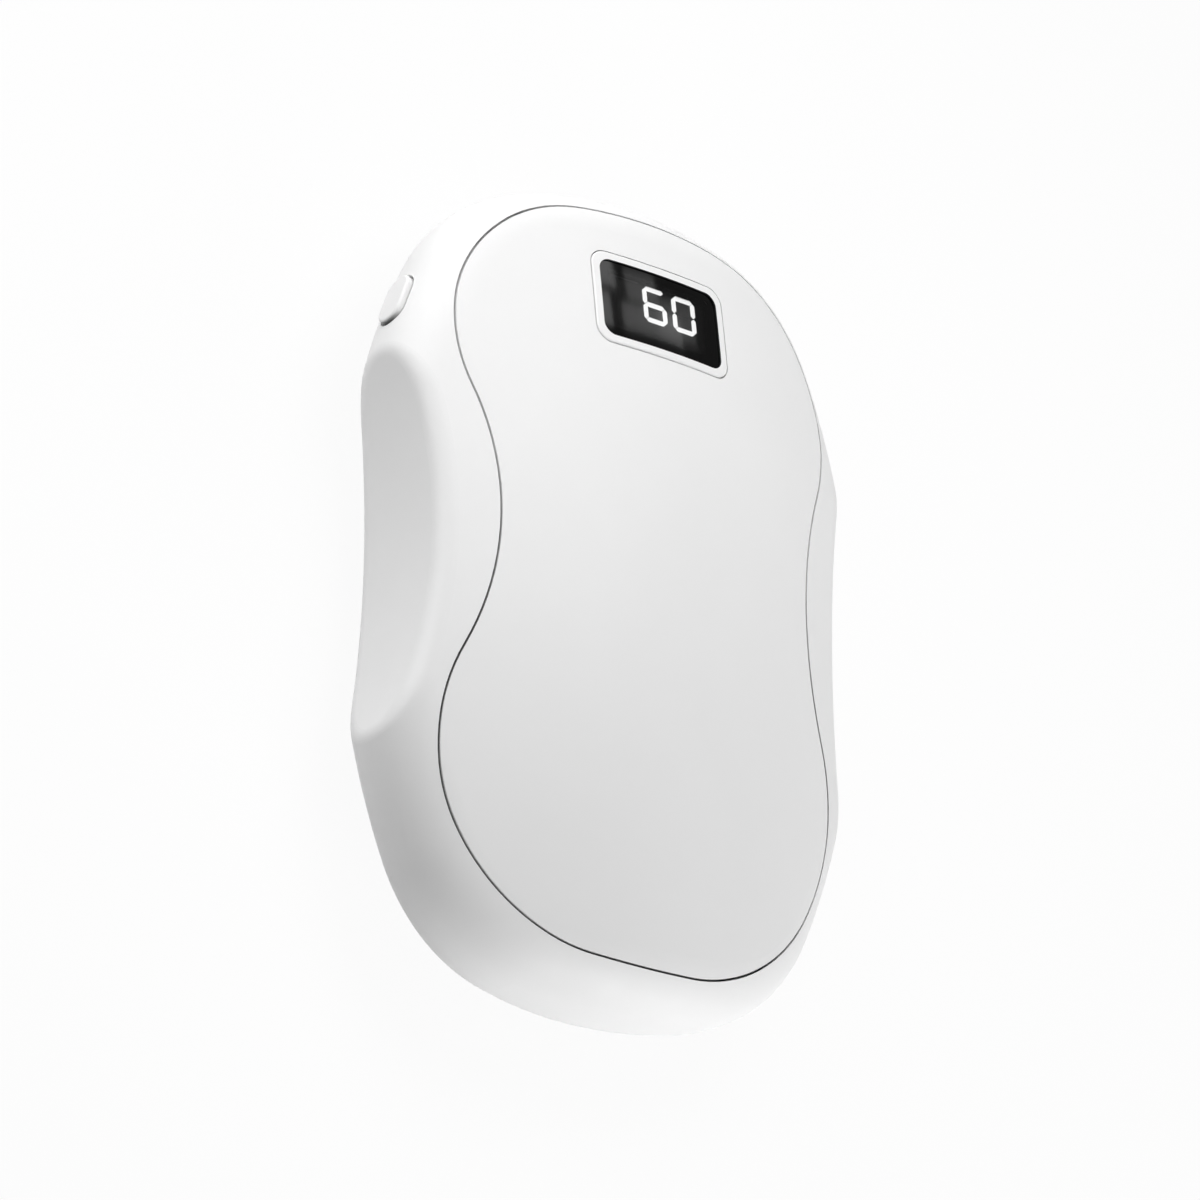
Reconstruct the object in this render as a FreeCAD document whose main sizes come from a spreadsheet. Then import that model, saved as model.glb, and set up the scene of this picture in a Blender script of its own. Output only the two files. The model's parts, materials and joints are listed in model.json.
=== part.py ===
import FreeCAD, Part
import math
import os
import Sketcher

# Rechargeable hand warmer: a white pebble lying on its back.
# X runs across, Y runs to the display end, Z comes out of the display face.
# Lengths are in millimetres and z = 0 is the flat that it rests on.

document = FreeCAD.newDocument("HandWarmer")
sheet = document.addObject("Spreadsheet::Sheet", "Sizes")

sizes = {
    # Pebble
    "body_length": 106.0,
    "body_width": 76.2,
    "body_depth": 28.5,
    "rest_trim": 0.5,
    "top_end_radius": 64.7,
    "bottom_end_radius": 71.6,
    "side_radius": 97.0,
    "top_corner_radius": 22.1,
    "bottom_corner_radius": 22.6,
    "crown_radius_across": 86.5,
    "crown_radius_along": 250.0,
    "crown_sweep_angle": 60.0,
    "rim_radius": 8.0,
    "scoop_radius": 80.0,
    "scoop_depth": 7.2,
    "scoop_offset": 0.2,
    "scoop_edge_radius": 3.0,
    "cut_overrun": 12.0,
    # Covers and the ledge that carries them
    "cover_thickness": 1.6,
    "ledge_thickness": 1.2,
    "ledge_width": 1.8,
    "seam_gap": 0.3,
    "cover_top_margin": 3.9,
    "cover_bottom_margin": 4.5,
    "cover_top_radius": 103.8,
    "cover_bottom_radius": 104.6,
    "top_lobe_radius": 20.8,
    "bottom_lobe_radius": 23.9,
    "cover_waist_radius": 41.4,
    "cover_waist_margin": 14.4,
    "cover_waist_offset": 3.1,
    # Display
    "display_drop": 16.9,
    "bezel_width": 20.7,
    "bezel_height": 13.0,
    "bezel_corner": 2.2,
    "bezel_ring": 1.05,
    "bezel_rise": 0.12,
    "bezel_clearance": 0.15,
    "bezel_edge_radius": 0.25,
    "bezel_flange": 1.0,
    "bezel_flange_thickness": 0.8,
    "lens_clearance": 0.05,
    "lens_recess": 0.12,
    "lens_thickness": 0.9,
    "lens_step": 0.9,
    "display_gap": 0.4,
    "display_side_gap": 0.6,
    "display_block_height": 3.5,
    "digit_width": 3.0,
    "digit_height": 4.5,
    "digit_offset": 2.0,
    "digit_rise": 1.4,
    "segment_width": 0.6,
    "segment_depth": 0.12,
    "segment_break": 0.08,
    "digit_pitch": 4.6,
    "display_board_thickness": 1.0,
    "display_board_margin": 1.6,
    # Heaters
    "heater_margin": 8.2,
    "film_margin": 1.0,
    "heater_drop": 10.7,
    "heater_end_corner": 2.0,
    "plate_thickness": 0.8,
    "film_thickness": 0.25,
    "foam_side_margin": 6.0,
    "foam_end_margin": 3.0,
    "foam_corner": 2.0,
    "thermistor_radius": 0.6,
    "thermistor_length": 3.0,
    "thermistor_side_gap": 2.5,
    "thermistor_place": 15.0,
    "thermistor_gap": 0.05,
    # Battery
    "battery_centre": 7.0,
    "cell_side_room": 12.2,
    "cell_end_room": 25.5,
    "cell_face_room": 7.6,
    "cell_corner": 1.5,
    "cell_edge": 0.8,
    "cell_clearance": 0.3,
    "tray_lift": 0.5,
    "tray_wall": 1.2,
    "tray_lip": 0.6,
    "tray_end_room": 4.0,
    "tray_window_rim": 9.0,
    "ear_radius": 3.0,
    "ear_thickness": 2.0,
    "ear_drop": 2.9,
    "ear_reach": 3.9,
    "ear_top_run": 2.0,
    "ear_bottom_run": 6.0,
    "tab_width": 5.0,
    "tab_thickness": 0.15,
    "tab_offset": 8.0,
    "tab_run": 2.0,
    "protection_margin": 6.0,
    "protection_height": 9.0,
    "protection_thickness": 1.0,
    # Boards and what stands on them
    "board_thickness": 1.2,
    "board_clearance": 1.0,
    "board_drop": 7.1,
    "boss_radius": 2.2,
    "boss_height": 4.4,
    "board_screw_inset": 20.2,
    "board_screw_drop": 14.0,
    "screw_radius": 1.0,
    "screw_length": 5.2,
    "screw_head_radius": 1.9,
    "screw_head_height": 1.4,
    "screw_slot_width": 0.5,
    "screw_slot_depth": 0.6,
    "screw_clearance": 0.2,
    "pilot_clearance": 0.05,
    "usb_width": 8.94,
    "usb_height": 3.26,
    "usb_depth": 7.3,
    "usb_wall": 0.3,
    "usb_recess": 1.1,
    "usb_clearance": 0.3,
    "usb_back": 1.6,
    "tongue_width": 6.7,
    "tongue_thickness": 0.7,
    "tongue_depth": 4.6,
    "socket_length": 6.0,
    "socket_width": 4.6,
    "socket_height": 4.4,
    "chip_height": 0.9,
    "chip_large": 5.0,
    "chip_small": 4.0,
    "chip_offset": 11.5,
    "chip_drop": 14.5,
    "chip_step": 5.5,
    "inductor_size": 7.0,
    "inductor_height": 3.0,
    "inductor_corner": 1.2,
    "capacitor_length": 1.6,
    "capacitor_width": 0.8,
    "capacitor_pitch": 2.4,
    "capacitor_shift": 1.6,
    "header_width": 2.5,
    "header_height": 2.5,
    "pin_radius": 0.32,
    "pin_pitch": 2.54,
    "pin_gap": 0.1,
    # Wires
    "wire_radius": 0.6,
    "wire_bend": 2.2,
    "wire_run": 3.0,
    "wire_spacing": 2.6,
    "wire_gap": 0.05,
    "heater_wire_offset": 14.4,
    "battery_wire_offset": 1.3,
    # Button and its switch
    "button_angle": 19.5,
    "button_length": 7.2,
    "button_width": 4.2,
    "button_rise": 0.55,
    "button_edge_radius": 0.35,
    "button_clearance": 0.3,
    "button_flange": 1.0,
    "button_flange_gap": 1.5,
    "button_flange_thickness": 0.9,
    "button_nub_radius": 1.2,
    "button_nub_length": 0.8,
    "plunger_radius": 0.8,
    "plunger_length": 1.8,
    "plunger_reach": 1.0,
    "plunger_clearance": 0.1,
    "button_travel": 0.5,
    "switch_depth": 3.5,
    "switch_length": 6.0,
}

for row, (name, size) in enumerate(sizes.items(), start=1):
    cell = "A%d" % row
    sheet.set(cell, str(size))
    sheet.setAlias(cell, name)
document.recompute()


# Amounts: a size is a sum of named sizes, each with a factor


def amount(**terms):
    return terms


def plus(*parts):
    total = {}
    for part in parts:
        for name, factor in part.items():
            total[name] = total.get(name, 0) + factor
    return total


def minus(first, second):
    return plus(first, times(second, -1))


def times(terms, share):
    return {name: factor * share for name, factor in terms.items()}


def text(terms):
    if not terms:
        return "0"
    return " + ".join("(%r) * Sizes.%s" % (factor, name) for name, factor in terms.items())


def value(terms):
    return sum(factor * float(getattr(sheet, name)) for name, factor in terms.items())


NOTHING = amount()
rim_share = 0.97
OVERRUN = amount(cut_overrun=1)
APEX = amount(body_depth=1, rest_trim=-1)
EQUATOR = amount(body_depth=0.5, rest_trim=-1)
WALL = amount(cover_thickness=1, ledge_thickness=1)
SCOOP_WAIST = amount(body_width=1, scoop_depth=-2)
DISPLAY_PLACE = amount(body_length=0.5, display_drop=-1)
HEATER_END = plus(DISPLAY_PLACE, amount(heater_drop=-1))
CELL_WIDTH = plus(SCOOP_WAIST, amount(cell_side_room=-2))
CELL_LENGTH = amount(body_length=1, cell_end_room=-2)
CELL_THICKNESS = amount(body_depth=0.5, cell_face_room=-1)
CELL_MIDDLE = amount(battery_centre=-1)
CELL_TOP_END = plus(CELL_MIDDLE, times(CELL_LENGTH, 0.5))
CELL_BOTTOM_END = minus(CELL_MIDDLE, times(CELL_LENGTH, 0.5))
TRAY_BASE = minus(plus(EQUATOR, amount(tray_lift=1, tray_wall=-1)), CELL_THICKNESS)
TRAY_FLOOR = plus(TRAY_BASE, amount(tray_wall=1))
TRAY_HEIGHT = plus(CELL_THICKNESS, amount(tray_wall=1, tray_lip=1))
EAR_HEIGHT = plus(EQUATOR, amount(ear_drop=-1))
CHIP_PLACE = amount(body_length=0.5, chip_drop=-1)
BOARD_TOP = plus(EQUATOR, amount(usb_height=-0.5))
BOARD_BOTTOM = plus(BOARD_TOP, amount(board_thickness=-1))


# Bodies, sketches and features


def new_body(label):
    body = document.addObject("PartDesign::Body", label)
    body.Label = label
    return body


def new_sketch(body, name, role, offset=NOTHING, rise=NOTHING):
    sketch = body.newObject("Sketcher::SketchObject", name)
    plane = [item for item in body.Origin.OriginFeatures if item.Role == role][0]
    sketch.AttachmentSupport = [(plane, "")]
    sketch.MapMode = "FlatFace"
    if offset:
        sketch.setExpression("AttachmentOffset.Base.z", text(offset))
    if rise:
        sketch.setExpression("AttachmentOffset.Base.y", text(rise))
    return sketch


def bind(sketch, kind, places, terms):
    index = sketch.addConstraint(Sketcher.Constraint(kind, *places, value(terms)))
    sketch.setExpression("Constraints[%d]" % index, text(terms))


def fix(sketch, kind, *places):
    sketch.addConstraint(Sketcher.Constraint(kind, *places))


def add_line(sketch, start, end):
    first = FreeCAD.Vector(start[0], start[1], 0)
    last = FreeCAD.Vector(end[0], end[1], 0)
    return sketch.addGeometry(Part.LineSegment(first, last), False)


def add_arc(sketch, centre, radius, start, end):
    circle = Part.Circle(FreeCAD.Vector(centre[0], centre[1], 0), FreeCAD.Vector(0, 0, 1), radius)
    return sketch.addGeometry(Part.ArcOfCircle(circle, start, end), False)


def pad(body, sketch, length, label="Pad", back=False):
    feature = body.newObject("PartDesign::Pad", label)
    feature.Profile = sketch
    feature.setExpression("Length", text(length))
    feature.Reversed = back
    document.recompute()
    return feature


def pocket(body, sketch, length, label="Pocket", back=False):
    before = body.Shape.Volume
    feature = body.newObject("PartDesign::Pocket", label)
    feature.Profile = sketch
    feature.setExpression("Length", text(length))
    feature.Reversed = back
    document.recompute()
    if body.Shape.Volume >= before:
        raise RuntimeError("pocket cuts nothing in " + body.Label)
    return feature


def fillet(body, base, edges, radius, label="Fillet"):
    feature = body.newObject("PartDesign::Fillet", label)
    feature.Base = (base, edges)
    feature.setExpression("Radius", radius)
    document.recompute()
    return feature


def edge_names(shape, test):
    return ["Edge%d" % (index + 1) for index, edge in enumerate(shape.Edges) if test(edge)]


def surface_kinds(shape, edge):
    return sorted(type(face.Surface).__name__ for face in shape.ancestorsOfType(edge, Part.Face))


# Outline of eight tangent arcs: two ends, two sides and four corners


def circle_meeting(first, first_radius, second, second_radius, upper):
    run_x = second[0] - first[0]
    run_y = second[1] - first[1]
    distance = math.hypot(run_x, run_y)
    along = (first_radius ** 2 - second_radius ** 2 + distance ** 2) / (2 * distance)
    across = math.sqrt(first_radius ** 2 - along ** 2)
    middle = (first[0] + run_x * along / distance, first[1] + run_y * along / distance)
    step = (-run_y * across / distance, run_x * across / distance)
    points = [(middle[0] + step[0], middle[1] + step[1]), (middle[0] - step[0], middle[1] - step[1])]
    points.sort(key=lambda point: point[1])
    return points[1] if upper else points[0]


OVAL = {
    "top": amount(body_length=0.5),
    "bottom": amount(body_length=0.5),
    "top_radius": amount(top_end_radius=1),
    "bottom_radius": amount(bottom_end_radius=1),
    "top_corner": amount(top_corner_radius=1),
    "bottom_corner": amount(bottom_corner_radius=1),
    "side_radius": amount(side_radius=1),
    "side_reach": amount(body_width=0.5),
    "side_height": NOTHING,
    "hollow": False,
}

PEANUT = {
    "top": amount(body_length=0.5, cover_top_margin=-1),
    "bottom": amount(body_length=0.5, cover_bottom_margin=-1),
    "top_radius": amount(cover_top_radius=1),
    "bottom_radius": amount(cover_bottom_radius=1),
    "top_corner": amount(top_lobe_radius=1),
    "bottom_corner": amount(bottom_lobe_radius=1),
    "side_radius": amount(cover_waist_radius=1),
    "side_reach": amount(body_width=0.5, cover_waist_margin=-1),
    "side_height": amount(cover_waist_offset=1),
    "hollow": True,
}


def outline_centres(outline):
    bend = -1 if outline["hollow"] else 1
    side_x = value(outline["side_reach"]) - bend * value(outline["side_radius"])
    side = (side_x, value(outline["side_height"]))
    top = (0, value(outline["top"]) - value(outline["top_radius"]))
    bottom = (0, value(outline["bottom_radius"]) - value(outline["bottom"]))
    corners = []
    for end, upper in (("top", True), ("bottom", False)):
        radius = value(outline[end + "_corner"])
        end_centre = top if upper else bottom
        from_side = value(outline["side_radius"]) - bend * radius
        from_end = value(outline[end + "_radius"]) - radius
        corners.append(circle_meeting(side, from_side, end_centre, from_end, upper))
    return side, top, bottom, corners[0], corners[1]


def outline_sketch(body, name, outline, inset, level):
    sketch = new_sketch(body, name, "XY_Plane", level)
    hollow = outline["hollow"]
    side, top, bottom, upper, lower = outline_centres(outline)

    def angle(start, end):
        return math.atan2(end[1] - start[1], end[0] - start[0])

    def mirrored(point):
        return (-point[0], point[1])

    def inner(name_of_radius):
        return minus(outline[name_of_radius], inset)

    side_radius = plus(outline["side_radius"], inset) if hollow else inner("side_radius")
    rise = angle(side, upper)
    drop = angle(side, lower)
    full = 2 * math.pi
    if hollow:
        right = (side, side_radius, rise, drop % full)
        left = (mirrored(side), side_radius, math.pi - drop, (math.pi - rise) % full)
    else:
        right = (side, side_radius, drop, rise)
        left = (mirrored(side), side_radius, math.pi - rise, math.pi - drop)
    top_turn = angle(top, upper)
    bottom_turn = angle(bottom, lower)
    corner_start = rise + math.pi if hollow else rise
    corner_end = drop + math.pi if hollow else drop
    arcs = [
        right,
        (upper, inner("top_corner"), corner_start, top_turn),
        (top, inner("top_radius"), top_turn, math.pi - top_turn),
        (mirrored(upper), inner("top_corner"), math.pi - top_turn, math.pi - corner_start),
        left,
        (mirrored(lower), inner("bottom_corner"), math.pi - corner_end, math.pi - bottom_turn),
        (bottom, inner("bottom_radius"), math.pi - bottom_turn, full + bottom_turn),
        (lower, inner("bottom_corner"), bottom_turn, corner_end),
    ]
    for centre, radius, start, end in arcs:
        start = start % full
        end = end % full
        if end <= start:
            end += full
        add_arc(sketch, centre, value(radius), start, end)
    for index in range(8):
        following = (index + 1) % 8
        leave = 1 if hollow and index in (0, 4) else 2
        enter = 2 if hollow and following in (0, 4) else 1
        fix(sketch, "Tangent", index, leave, following, enter)
    for index, (centre, radius, start, end) in enumerate(arcs):
        bind(sketch, "Radius", (index,), radius)
    fix(sketch, "PointOnObject", 2, 3, -2)
    bind(sketch, "DistanceY", (-1, 1, 2, 3), minus(outline["top"], outline["top_radius"]))
    fix(sketch, "PointOnObject", 6, 3, -2)
    bind(sketch, "DistanceY", (-1, 1, 6, 3), minus(outline["bottom_radius"], outline["bottom"]))
    bend = 1 if hollow else -1
    reach = plus(outline["side_reach"], times(outline["side_radius"], bend))
    bind(sketch, "DistanceX", (-1, 1, 0, 3), reach)
    bind(sketch, "DistanceX", (4, 3, -1, 1), reach)
    for index in (0, 4):
        if outline["side_height"]:
            bind(sketch, "DistanceY", (-1, 1, index, 3), outline["side_height"])
        else:
            fix(sketch, "PointOnObject", index, 3, -1)
    return sketch


def outline_prism(label, outline, inset, bottom, height):
    body = new_body(label)
    pad(body, outline_sketch(body, label + "_outline", outline, inset, bottom), height)
    return body


# Crown: both faces bulge as part of a large ring, rounder across than along


def crown_level(x, y, depth):
    along = value(amount(crown_radius_along=1))
    across = value(amount(crown_radius_across=1))
    ring = along - across
    reach = math.sqrt((across - depth) ** 2 - x ** 2) + ring
    return value(APEX) - along + math.sqrt(reach ** 2 - y ** 2)


def crown_height(x, y, inset):
    return crown_level(x, y, value(inset))


def rear_crown_height(x, y, inset):
    return value(times(EQUATOR, 2)) - crown_height(x, y, inset)


def crown_cut(body, name, inset, front=True, outside=True):
    turn = 1 if front else -1
    along = amount(crown_radius_along=1)
    axis = minus(APEX, along) if front else plus(amount(rest_trim=-1), along)
    sketch = new_sketch(body, name, "XZ_Plane", NOTHING, axis)
    centre = times(amount(crown_radius_along=1, crown_radius_across=-1), turn)
    radius = minus(amount(crown_radius_across=1), inset)
    reach = plus(amount(body_width=0.5), OVERRUN)
    limit = plus(along, OVERRUN) if outside else minus(along, amount(body_depth=1))
    limit = times(limit, turn)
    swing = math.acos(value(reach) / value(radius))
    start = swing if front else math.pi + swing
    end = math.pi - swing if front else 2 * math.pi - swing
    edge = value(centre) + turn * value(radius) * math.sin(swing)
    right = value(reach)
    add_arc(sketch, (0, value(centre)), value(radius), start, end)
    add_line(sketch, (right, edge), (right, value(limit)))
    add_line(sketch, (right, value(limit)), (-right, value(limit)))
    add_line(sketch, (-right, value(limit)), (-right, edge))
    near, far = (1, 2) if front else (2, 1)
    fix(sketch, "Coincident", 0, near, 1, 1)
    fix(sketch, "Coincident", 1, 2, 2, 1)
    fix(sketch, "Coincident", 2, 2, 3, 1)
    fix(sketch, "Coincident", 3, 2, 0, far)
    fix(sketch, "Vertical", 1)
    fix(sketch, "Horizontal", 2)
    fix(sketch, "Vertical", 3)
    fix(sketch, "PointOnObject", 0, 3, -2)
    bind(sketch, "DistanceY", (-1, 1, 0, 3), centre)
    bind(sketch, "Radius", (0,), radius)
    bind(sketch, "DistanceX", (-1, 1, 1, 1), reach)
    bind(sketch, "DistanceX", (3, 1, -1, 1), reach)
    bind(sketch, "DistanceY", (-1, 1, 2, 1), limit)
    before = body.Shape.Volume
    feature = body.newObject("PartDesign::Groove", name + "_groove")
    feature.Profile = sketch
    feature.ReferenceAxis = (sketch, ["H_Axis"])
    feature.setExpression("Angle", "Sizes.crown_sweep_angle")
    feature.Midplane = True
    document.recompute()
    if body.Shape.Volume >= before:
        raise RuntimeError("crown cuts nothing in " + body.Label)
    return feature


def scoop_sketch(body, name, inset):
    sketch = new_sketch(body, name, "XY_Plane", plus(APEX, OVERRUN))
    radius = plus(amount(scoop_radius=1), inset)
    centre = plus(times(SCOOP_WAIST, 0.5), amount(scoop_radius=1))
    offset = amount(scoop_offset=1)
    reach = plus(amount(body_width=0.5), OVERRUN)
    swing = math.acos((value(centre) - value(reach)) / value(radius))
    run = value(radius) * math.sin(swing)
    middle = value(offset)
    for turn, first in ((1, 0), (-1, 2)):
        angle = math.pi if turn > 0 else 0
        add_arc(sketch, (turn * value(centre), middle), value(radius), angle - swing, angle + swing)
        edge = turn * value(reach)
        add_line(sketch, (edge, middle - turn * run), (edge, middle + turn * run))
        fix(sketch, "Coincident", first, 2, first + 1, 1)
        fix(sketch, "Coincident", first, 1, first + 1, 2)
        fix(sketch, "Vertical", first + 1)
        bind(sketch, "Radius", (first,), radius)
        bind(sketch, "DistanceY", (-1, 1, first, 3), offset)
        if turn > 0:
            bind(sketch, "DistanceX", (-1, 1, first, 3), centre)
            bind(sketch, "DistanceX", (-1, 1, first + 1, 1), reach)
        else:
            bind(sketch, "DistanceX", (first, 3, -1, 1), centre)
            bind(sketch, "DistanceX", (first + 1, 1, -1, 1), reach)
    return sketch


def rim_room(depth):
    # Half the height that is left where the outline and the crown are both taken in by depth
    side, top, bottom, upper, lower = outline_centres(OVAL)
    places = []
    for corner, name, turn in ((upper, "top_corner", 1), (lower, "bottom_corner", -1)):
        radius = value(OVAL[name]) - depth
        for angle in range(0, 91, 10):
            swing = math.radians(angle)
            places.append((corner[0] + radius * math.cos(swing), corner[1] + turn * radius * math.sin(swing)))
    return min(crown_level(x, y, depth) for x, y in places) - value(EQUATOR)


def rim_size(inset):
    # The two rims of a thin body may not meet, so the wall limits the rim's radius
    wanted = minus(amount(rim_radius=1), inset)
    low, high = 0, value(wanted)
    if rim_room(value(inset) + high) > 0:
        return text(wanted)
    for step in range(30):
        half = (low + high) / 2
        if rim_room(value(inset) + half) > 0:
            low = half
        else:
            high = half
    return repr(low * rim_share)


def pebble(label, inset, soft_scoops=False):
    body = outline_prism(label, OVAL, inset, NOTHING, plus(APEX, times(OVERRUN, 0.5)))
    crown_cut(body, label + "_front", inset)
    last = crown_cut(body, label + "_rear", inset, front=False)
    shape = last.Shape
    edges = edge_names(shape, lambda edge: surface_kinds(shape, edge) == ["Cylinder", "Toroid"])
    fillet(body, last, edges, rim_size(inset), label + "_rim")
    sketch = scoop_sketch(body, label + "_scoops", inset)
    last = pocket(body, sketch, plus(APEX, times(OVERRUN, 3)), label + "_scoop_cut")
    if soft_scoops:
        shape = last.Shape
        radius = value(plus(amount(scoop_radius=1), inset))
        faces = [face for face in shape.Faces if isinstance(face.Surface, Part.Cylinder)]
        faces = [face for face in faces if abs(face.Surface.Radius - radius) < radius * 1e-6]
        hashes = [edge.hashCode() for face in faces for edge in face.Edges]
        edges = edge_names(shape, lambda edge: edge.hashCode() in hashes)
        fillet(body, last, edges, text(amount(scoop_edge_radius=1)), label + "_scoop_edges")
    return body


outer_pebble = pebble("outer_pebble", NOTHING, soft_scoops=True)
cover_pebble = pebble("cover_pebble", amount(cover_thickness=1))
cavity_pebble = pebble("cavity_pebble", WALL)


# Plain building pieces


def rounded_sketch(body, name, width, height, corner, x=NOTHING, y=NOTHING, level=NOTHING):
    sketch = new_sketch(body, name, "XY_Plane", level)
    right = plus(x, times(width, 0.5))
    left = minus(x, times(width, 0.5))
    top = plus(y, times(height, 0.5))
    bottom = minus(y, times(height, 0.5))
    radius = value(corner)
    east, west, north, south = value(right), value(left), value(top), value(bottom)
    quarter = math.pi / 2
    add_line(sketch, (west + radius, south), (east - radius, south))
    add_arc(sketch, (east - radius, south + radius), radius, 3 * quarter, 4 * quarter)
    add_line(sketch, (east, south + radius), (east, north - radius))
    add_arc(sketch, (east - radius, north - radius), radius, 0, quarter)
    add_line(sketch, (east - radius, north), (west + radius, north))
    add_arc(sketch, (west + radius, north - radius), radius, quarter, 2 * quarter)
    add_line(sketch, (west, north - radius), (west, south + radius))
    add_arc(sketch, (west + radius, south + radius), radius, 2 * quarter, 3 * quarter)
    for index in range(8):
        fix(sketch, "Tangent", index, 2, (index + 1) % 8, 1)
    for index in (0, 4):
        fix(sketch, "Horizontal", index)
    for index in (2, 6):
        fix(sketch, "Vertical", index)
    bind(sketch, "Radius", (1,), corner)
    for index in (3, 5, 7):
        fix(sketch, "Equal", 1, index)
    bind(sketch, "DistanceX", (-1, 1, 2, 1), right)
    bind(sketch, "DistanceX", (-1, 1, 6, 1), left)
    bind(sketch, "DistanceY", (-1, 1, 4, 1), top)
    bind(sketch, "DistanceY", (-1, 1, 0, 1), bottom)
    return sketch


def rounded_prism(label, width, height, corner, x, y, bottom, depth):
    body = new_body(label)
    sketch = rounded_sketch(body, label + "_outline", width, height, corner, x, y, bottom)
    pad(body, sketch, depth)
    return body


def pill_sketch(body, name, role, length, width, offset, rise=NOTHING):
    sketch = new_sketch(body, name, role, offset, rise)
    half = times(minus(length, width), 0.5)
    radius = times(width, 0.5)
    reach = value(half)
    size = value(radius)
    quarter = math.pi / 2
    add_arc(sketch, (reach, 0), size, -quarter, quarter)
    add_line(sketch, (reach, size), (-reach, size))
    add_arc(sketch, (-reach, 0), size, quarter, 3 * quarter)
    add_line(sketch, (-reach, -size), (reach, -size))
    for index in range(4):
        fix(sketch, "Tangent", index, 2, (index + 1) % 4, 1)
    fix(sketch, "Horizontal", 1)
    fix(sketch, "PointOnObject", 0, 3, -1)
    fix(sketch, "Equal", 0, 2)
    bind(sketch, "Radius", (0,), radius)
    bind(sketch, "DistanceX", (-1, 1, 0, 3), half)
    bind(sketch, "DistanceX", (2, 3, -1, 1), half)
    return sketch


def circle_sketch(body, name, role, radius, offset):
    sketch = new_sketch(body, name, role, offset)
    circle = Part.Circle(FreeCAD.Vector(0, 0, 0), FreeCAD.Vector(0, 0, 1), value(radius))
    sketch.addGeometry(circle, False)
    fix(sketch, "Coincident", 0, 3, -1, 1)
    bind(sketch, "Radius", (0,), radius)
    return sketch


def block(label, size_x, size_y, size_z, x, y, bottom):
    box = document.addObject("Part::Box", label)
    box.Label = label
    box.setExpression("Length", text(size_x))
    box.setExpression("Width", text(size_y))
    box.setExpression("Height", text(size_z))
    box.setExpression("Placement.Base.x", text(minus(x, times(size_x, 0.5))))
    box.setExpression("Placement.Base.y", text(minus(y, times(size_y, 0.5))))
    box.setExpression("Placement.Base.z", text(bottom))
    return box


def rod(label, radius, height, x, y, bottom):
    cylinder = document.addObject("Part::Cylinder", label)
    cylinder.Label = label
    cylinder.setExpression("Radius", text(radius))
    cylinder.setExpression("Height", text(height))
    cylinder.setExpression("Placement.Base.x", text(x))
    cylinder.setExpression("Placement.Base.y", text(y))
    cylinder.setExpression("Placement.Base.z", text(bottom))
    return cylinder


def boolean(kind, label, base, tool):
    result = document.addObject("Part::" + kind, label)
    result.Label = label
    result.Base = base
    result.Tool = tool
    document.recompute()
    return result


def fused(label, pieces):
    result = document.addObject("Part::MultiFuse", label)
    result.Label = label
    result.Shapes = pieces
    document.recompute()
    return result


def group(label, pieces):
    result = document.addObject("Part::Compound", label)
    result.Label = label
    result.Links = pieces
    document.recompute()
    return result


def copy_at(label, source, placement):
    link = document.addObject("App::Link", label)
    link.Label = label
    link.LinkedObject = source
    link.Placement = placement
    return link


def move(x, y, z):
    return FreeCAD.Placement(FreeCAD.Vector(x, y, z), FreeCAD.Rotation())


def turned(axis, angle):
    return FreeCAD.Placement(FreeCAD.Vector(0, 0, 0), FreeCAD.Rotation(FreeCAD.Vector(*axis), angle))


nodes = []


# Local frame of the button: X comes out of the left shoulder


button_angle = value(amount(button_angle=1))
side_centre = outline_centres(OVAL)[0]
swing = math.radians(180 - button_angle)
shoulder = value(amount(side_radius=1))
shoulder_x = shoulder * math.cos(swing) - side_centre[0]
shoulder_y = shoulder * math.sin(swing) + side_centre[1]
button_frame = FreeCAD.Placement(
    FreeCAD.Vector(shoulder_x, shoulder_y, value(EQUATOR)),
    FreeCAD.Rotation(FreeCAD.Vector(0, 0, 1), 180 - button_angle),
)
FLANGE_FRONT = plus(WALL, amount(button_flange_gap=1))
FLANGE_BACK = plus(FLANGE_FRONT, amount(button_flange_thickness=1))
NUB_END = plus(FLANGE_BACK, amount(button_nub_length=1))
SWITCH_FRONT = plus(NUB_END, amount(plunger_reach=1))
button_size = amount(button_length=1)
button_girth = amount(button_width=1)
twice_clearance = amount(button_clearance=2)

power_button = new_body("power_button")
cap_base = times(FLANGE_FRONT, -1)
sketch = pill_sketch(power_button, "button_cap", "YZ_Plane", button_size, button_girth, cap_base)
pad(power_button, sketch, plus(FLANGE_FRONT, OVERRUN), "button_cap_pad")
sketch = new_sketch(power_button, "button_face", "XZ_Plane")
sketch.setExpression("AttachmentOffset.Base.x", text(amount(side_radius=-1)))
inner = amount(side_radius=1, button_rise=1)
outer = plus(inner, times(OVERRUN, 2))
corners = [(inner, -1), (outer, -1), (outer, 1), (inner, 1)]
for index in range(4):
    start, end = corners[index], corners[(index + 1) % 4]
    girth = value(button_girth)
    add_line(sketch, (value(start[0]), start[1] * girth), (value(end[0]), end[1] * girth))
for index in range(4):
    fix(sketch, "Coincident", index, 2, (index + 1) % 4, 1)
for index in (0, 2):
    fix(sketch, "Horizontal", index)
for index in (1, 3):
    fix(sketch, "Vertical", index)
bind(sketch, "DistanceX", (-1, 1, 3, 1), inner)
bind(sketch, "DistanceX", (-1, 1, 1, 1), outer)
bind(sketch, "DistanceY", (0, 1, -1, 1), button_girth)
bind(sketch, "DistanceY", (-1, 1, 2, 1), button_girth)
groove = power_button.newObject("PartDesign::Groove", "button_face_groove")
groove.Profile = sketch
groove.ReferenceAxis = (sketch, ["V_Axis"])
groove.setExpression("Angle", "Sizes.crown_sweep_angle")
groove.Midplane = True
document.recompute()
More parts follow.
